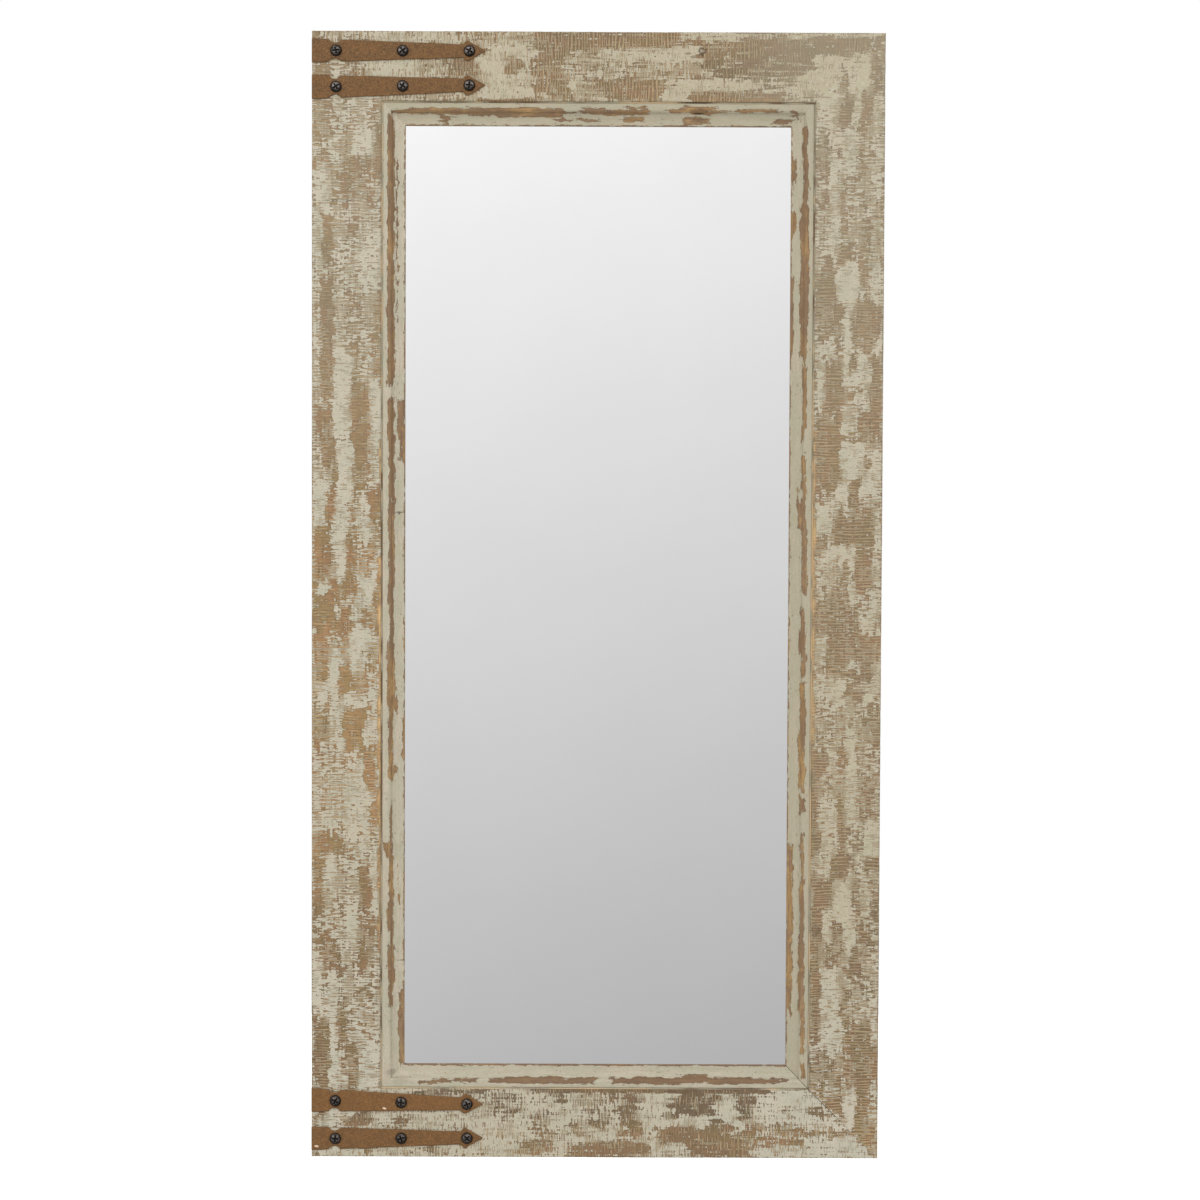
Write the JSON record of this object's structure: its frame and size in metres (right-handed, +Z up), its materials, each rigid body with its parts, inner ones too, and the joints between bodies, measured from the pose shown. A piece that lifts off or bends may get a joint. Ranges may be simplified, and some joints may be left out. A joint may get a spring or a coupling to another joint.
{
  "type": "wall mirror",
  "caption": "Tall rectangular wall mirror in a mitred frame of worn painted boards with an inner moulding, iron corner straps and swinging hanger rings on the back.",
  "frame": {"origin": "middle of the frame's width and height and of the boards' thickness", "axes": "+X to the viewer's right, +Y from the front to the wall, +Z up along the tall sides"},
  "size_m": [0.482, 0.0304, 0.953],
  "materials": {
    "painted_board": "rough-sawn pine, pale sage-cream paint worn through to greyed tan wood",
    "painted_moulding": "smooth pine, pale sage-cream paint rubbed off at the raised edges",
    "mirror_glass": "plain silvered float glass, no bevel",
    "hardboard": "smooth brown hardboard",
    "bright_steel": "plain bright steel",
    "rusty_iron": "rust-brown iron strap, matt and mottled",
    "dark_screw": "blackened steel, half gloss",
    "zinc_plate": "zinc-plated steel",
    "bumper_rubber": "dark rubber"
  },
  "bodies": {
    "frame": {"left_stile": "painted_board", "right_stile": "painted_board", "top_rail": "painted_board", "bottom_rail": "painted_board", "left_moulding": "painted_moulding", "right_moulding": "painted_moulding", "top_moulding": "painted_moulding", "bottom_moulding": "painted_moulding", "mirror_glass": "mirror_glass", "backing_board": "hardboard", "glazing_points": "bright_steel", "moulding_pins": "bright_steel", "mitre_nails": "bright_steel", "strap_top_outer": "rusty_iron", "strap_top_inner": "rusty_iron", "strap_bottom_inner": "rusty_iron", "strap_bottom_outer": "rusty_iron", "strap_screws": "dark_screw", "left_hanger_plate": "zinc_plate", "right_hanger_plate": "zinc_plate", "hanger_screws": "zinc_plate", "left_bumper": "bumper_rubber", "right_bumper": "bumper_rubber"},
    "left_ring": {"left_hanger_ring": "zinc_plate"},
    "right_ring": {"right_hanger_ring": "zinc_plate"}
  },
  "joints": [
    {"name": "left_ring_swing", "type": "hinge", "parent": "frame", "child": "left_ring", "pos_m": [-0.21175, 0.01305, 0.2865], "axis": [1, 0, 0], "range_deg": [0, 180]},
    {"name": "right_ring_swing", "type": "hinge", "parent": "frame", "child": "right_ring", "pos_m": [0.21175, 0.01305, 0.2865], "axis": [1, 0, 0], "range_deg": [0, 180]}
  ]
}
